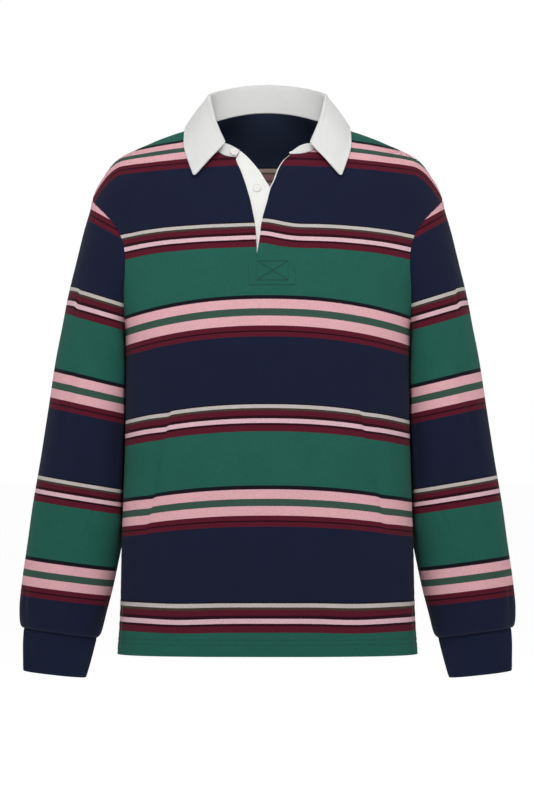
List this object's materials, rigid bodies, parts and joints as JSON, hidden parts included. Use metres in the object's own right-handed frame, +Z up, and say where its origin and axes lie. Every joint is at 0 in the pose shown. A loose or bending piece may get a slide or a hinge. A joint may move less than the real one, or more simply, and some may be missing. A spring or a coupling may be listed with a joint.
{
  "type": "polo collar rugby shirt",
  "caption": "Long-sleeved striped rugby shirt with a white polo collar and opened placket, filled out as worn and hollow.",
  "frame": {"origin": "centre of the wearer's neck base, level with the top of the shoulders, where the shirt is carried", "axes": "+Z up, -Y the way the wearer faces, +X the wearer's left"},
  "size_m": [0.6738, 0.2465, 0.8091],
  "materials": {
    "striped_jersey": "heavy cotton jersey with stripes of navy, green, pink, maroon and cream",
    "navy_rib": "fine rib knit",
    "white_twill": "matt cotton twill",
    "white_button": "soft sheen"
  },
  "bodies": {
    "root": {"front": "striped_jersey", "back": "striped_jersey", "sleeve_left": "striped_jersey", "sleeve_right": "striped_jersey", "cuff_left": "navy_rib", "cuff_right": "navy_rib", "collar": "white_twill", "placket_underlap": "white_twill", "placket_facing": "white_twill", "button_upper": "white_button", "button_lower": "white_button"}
  },
  "joints": []
}
